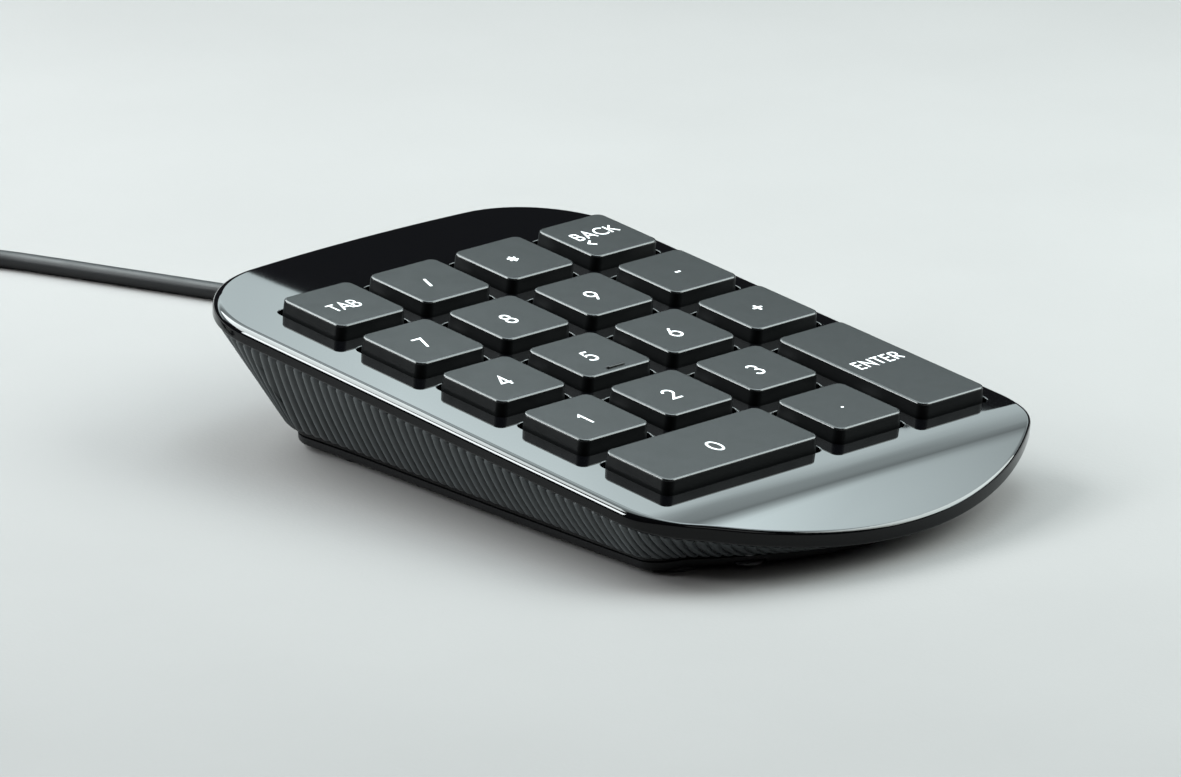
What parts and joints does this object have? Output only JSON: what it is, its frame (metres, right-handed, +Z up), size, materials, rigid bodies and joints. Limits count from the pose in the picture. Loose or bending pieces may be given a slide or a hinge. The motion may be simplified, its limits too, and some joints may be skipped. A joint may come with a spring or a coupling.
{
  "type": "numeric keypad",
  "caption": "Low wedge-shaped wired numeric keypad: square keys in a glossy rounded top tray, ribbed lower case, soft front lip, and a short cable with a plug.",
  "frame": {"origin": "centre of the whole object's box in plan, cable and plug included, at desk level", "axes": "+X to the user's right, +Y away from the user, towards the cable, +Z up from the desk"},
  "size_m": [0.12, 0.239, 0.0244],
  "materials": {
    "gloss_black": "mirror gloss",
    "satin_grey": "satin",
    "base_black": "fine matte",
    "key_grey": "fine matte",
    "rubber_black": "matte",
    "silicone_grey": "satin",
    "film_clear": "gloss film",
    "film_spacer": "matte film",
    "zinc_steel": "zinc plated",
    "screw_steel": "plated",
    "board_green": "solder mask",
    "chip_black": "moulded resin",
    "nylon_white": "satin",
    "cable_black": "satin",
    "plug_nickel": "nickel plated"
  },
  "bodies": {
    "case": {"top_bezel": "gloss_black", "lower_case": "satin_grey", "base_cover": "base_black", "key_guide_frame": "base_black", "rubber_dome_sheet": "silicone_grey", "membrane_top_layer": "film_clear", "membrane_spacer": "film_spacer", "membrane_bottom_layer": "film_clear", "backing_plate": "zinc_steel", "frame_screw_1": "screw_steel", "frame_screw_2": "screw_steel", "frame_screw_3": "screw_steel", "frame_screw_4": "screw_steel", "frame_screw_5": "screw_steel", "base_screw_rear_left": "screw_steel", "base_screw_rear_right": "screw_steel", "base_screw_front_left": "screw_steel", "base_screw_front_right": "screw_steel", "foot_rear_left": "rubber_black", "foot_rear_right": "rubber_black", "foot_front_left": "rubber_black", "foot_front_right": "rubber_black", "controller_board": "board_green", "membrane_clamp_bar": "nylon_white", "clamp_screw_left": "screw_steel", "clamp_screw_right": "screw_steel", "controller_chip": "chip_black", "crystal_can": "plug_nickel", "cable_header": "nylon_white", "usb_cable": "cable_black", "strain_relief": "rubber_black", "plug_grip": "cable_black", "plug_shell": "plug_nickel", "plug_tongue": "nylon_white"},
    "key_tab": {"key_tab": "key_grey"},
    "key_divide": {"key_divide": "key_grey"},
    "key_multiply": {"key_multiply": "key_grey"},
    "key_back": {"key_back": "key_grey"},
    "key_7": {"key_7": "key_grey"},
    "key_8": {"key_8": "key_grey"},
    "key_9": {"key_9": "key_grey"},
    "key_minus": {"key_minus": "key_grey"},
    "key_4": {"key_4": "key_grey"},
    "key_5": {"key_5": "key_grey"},
    "key_6": {"key_6": "key_grey"},
    "key_plus": {"key_plus": "key_grey"},
    "key_1": {"key_1": "key_grey"},
    "key_2": {"key_2": "key_grey"},
    "key_3": {"key_3": "key_grey"},
    "key_enter": {"key_enter": "key_grey"},
    "key_0": {"key_0": "key_grey"},
    "key_decimal": {"key_decimal": "key_grey"},
    "stabiliser_0": {"stabiliser_key_0": "screw_steel"},
    "stabiliser_enter": {"stabiliser_key_enter": "screw_steel"}
  },
  "joints": [
    {"name": "key_tab_press", "type": "slide", "parent": "case", "child": "key_tab", "axis": [0, 0.1115, -0.9938], "range_m": [0, 0.0018], "stiffness_N_per_m": 400, "springref_m": -0.0005, "deforming": ["rubber_dome_sheet"]},
    {"name": "key_divide_press", "type": "slide", "parent": "case", "child": "key_divide", "axis": [0, 0.1115, -0.9938], "range_m": [0, 0.0018], "stiffness_N_per_m": 400, "springref_m": -0.0005, "deforming": ["rubber_dome_sheet"]},
    {"name": "key_multiply_press", "type": "slide", "parent": "case", "child": "key_multiply", "axis": [0, 0.1115, -0.9938], "range_m": [0, 0.0018], "stiffness_N_per_m": 400, "springref_m": -0.0005, "deforming": ["rubber_dome_sheet"]},
    {"name": "key_back_press", "type": "slide", "parent": "case", "child": "key_back", "axis": [0, 0.1115, -0.9938], "range_m": [0, 0.0018], "stiffness_N_per_m": 400, "springref_m": -0.0005, "deforming": ["rubber_dome_sheet"]},
    {"name": "key_7_press", "type": "slide", "parent": "case", "child": "key_7", "axis": [0, 0.1115, -0.9938], "range_m": [0, 0.0018], "stiffness_N_per_m": 400, "springref_m": -0.0005, "deforming": ["rubber_dome_sheet"]},
    {"name": "key_8_press", "type": "slide", "parent": "case", "child": "key_8", "axis": [0, 0.1115, -0.9938], "range_m": [0, 0.0018], "stiffness_N_per_m": 400, "springref_m": -0.0005, "deforming": ["rubber_dome_sheet"]},
    {"name": "key_9_press", "type": "slide", "parent": "case", "child": "key_9", "axis": [0, 0.1115, -0.9938], "range_m": [0, 0.0018], "stiffness_N_per_m": 400, "springref_m": -0.0005, "deforming": ["rubber_dome_sheet"]},
    {"name": "key_minus_press", "type": "slide", "parent": "case", "child": "key_minus", "axis": [0, 0.1115, -0.9938], "range_m": [0, 0.0018], "stiffness_N_per_m": 400, "springref_m": -0.0005, "deforming": ["rubber_dome_sheet"]},
    {"name": "key_4_press", "type": "slide", "parent": "case", "child": "key_4", "axis": [0, 0.1115, -0.9938], "range_m": [0, 0.0018], "stiffness_N_per_m": 400, "springref_m": -0.0005, "deforming": ["rubber_dome_sheet"]},
    {"name": "key_5_press", "type": "slide", "parent": "case", "child": "key_5", "axis": [0, 0.1115, -0.9938], "range_m": [0, 0.0018], "stiffness_N_per_m": 400, "springref_m": -0.0005, "deforming": ["rubber_dome_sheet"]},
    {"name": "key_6_press", "type": "slide", "parent": "case", "child": "key_6", "axis": [0, 0.1115, -0.9938], "range_m": [0, 0.0018], "stiffness_N_per_m": 400, "springref_m": -0.0005, "deforming": ["rubber_dome_sheet"]},
    {"name": "key_plus_press", "type": "slide", "parent": "case", "child": "key_plus", "axis": [0, 0.1115, -0.9938], "range_m": [0, 0.0018], "stiffness_N_per_m": 400, "springref_m": -0.0005, "deforming": ["rubber_dome_sheet"]},
    {"name": "key_1_press", "type": "slide", "parent": "case", "child": "key_1", "axis": [0, 0.1115, -0.9938], "range_m": [0, 0.0018], "stiffness_N_per_m": 400, "springref_m": -0.0005, "deforming": ["rubber_dome_sheet"]},
    {"name": "key_2_press", "type": "slide", "parent": "case", "child": "key_2", "axis": [0, 0.1115, -0.9938], "range_m": [0, 0.0018], "stiffness_N_per_m": 400, "springref_m": -0.0005, "deforming": ["rubber_dome_sheet"]},
    {"name": "key_3_press", "type": "slide", "parent": "case", "child": "key_3", "axis": [0, 0.1115, -0.9938], "range_m": [0, 0.0018], "stiffness_N_per_m": 400, "springref_m": -0.0005, "deforming": ["rubber_dome_sheet"]},
    {"name": "key_enter_press", "type": "slide", "parent": "case", "child": "key_enter", "axis": [0, 0.1115, -0.9938], "range_m": [0, 0.0018], "stiffness_N_per_m": 400, "springref_m": -0.0005, "deforming": ["rubber_dome_sheet"]},
    {"name": "key_0_press", "type": "slide", "parent": "case", "child": "key_0", "axis": [0, 0.1115, -0.9938], "range_m": [0, 0.0018], "stiffness_N_per_m": 400, "springref_m": -0.0005, "deforming": ["rubber_dome_sheet"]},
    {"name": "key_decimal_press", "type": "slide", "parent": "case", "child": "key_decimal", "axis": [0, 0.1115, -0.9938], "range_m": [0, 0.0018], "stiffness_N_per_m": 400, "springref_m": -0.0005, "deforming": ["rubber_dome_sheet"]},
    {"name": "stabiliser_0_turn", "type": "hinge", "parent": "case", "child": "stabiliser_0", "pos_m": [0.0003, -0.09464, 0.00867], "axis": [1, 0, 0], "range_deg": [-20, 0]},
    {"name": "stabiliser_enter_turn", "type": "hinge", "parent": "case", "child": "stabiliser_enter", "pos_m": [0.0421, -0.07953, 0.01036], "axis": [0, 0.9938, 0.1115], "range_deg": [0, 20]}
  ],
  "couplings": [
    {"joint": "stabiliser_0_turn", "follows": "key_0_press", "rad_per_m": -188.8},
    {"joint": "stabiliser_enter_turn", "follows": "key_enter_press", "rad_per_m": 188.8}
  ]
}
